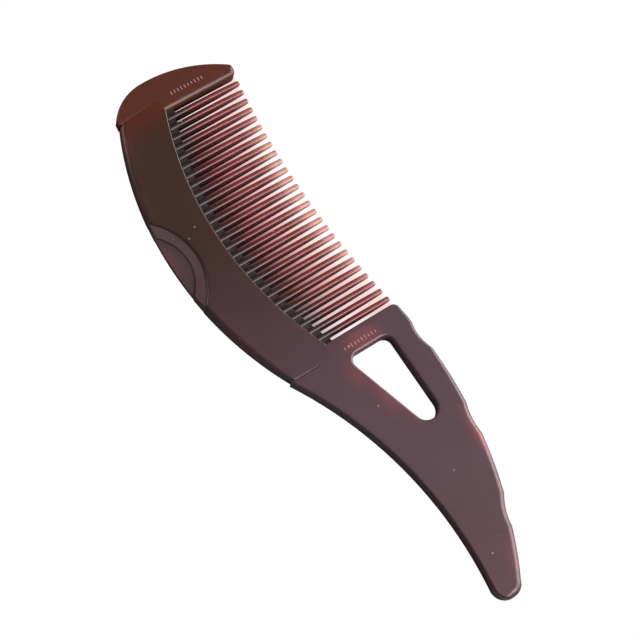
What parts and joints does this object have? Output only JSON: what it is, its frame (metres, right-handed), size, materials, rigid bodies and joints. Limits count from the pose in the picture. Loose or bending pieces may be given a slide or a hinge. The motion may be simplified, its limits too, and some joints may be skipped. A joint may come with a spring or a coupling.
{
  "type": "handled beard comb",
  "caption": "Flat comb with a bowed row of wide teeth between a guarded head and a long curved grip with a finger hole.",
  "frame": {"origin": "on the rear face, under the middle of the comb's outline", "axes": "+X from the head to the tip of the handle, +Y from the back of the spine to the tooth tips, +Z out of the front face"},
  "size_m": [0.1799, 0.05, 0.0046],
  "materials": {
    "tooth_plastic": "polished translucent red-brown plastic, glowing pink where thin",
    "spine_plastic": "satin-gloss dark brown plastic",
    "head_plastic": "satin-gloss reddish brown plastic",
    "handle_plastic": "satin-gloss mauve brown plastic, redder at its edges",
    "rest_plastic": "satin grey brown plastic"
  },
  "bodies": {
    "root": {"tooth_blade": "tooth_plastic", "front_cheek": "spine_plastic", "rear_cheek": "spine_plastic", "finger_rest": "rest_plastic", "head_guard": "head_plastic", "front_handle_half": "handle_plastic", "rear_handle_half": "handle_plastic"}
  },
  "joints": []
}
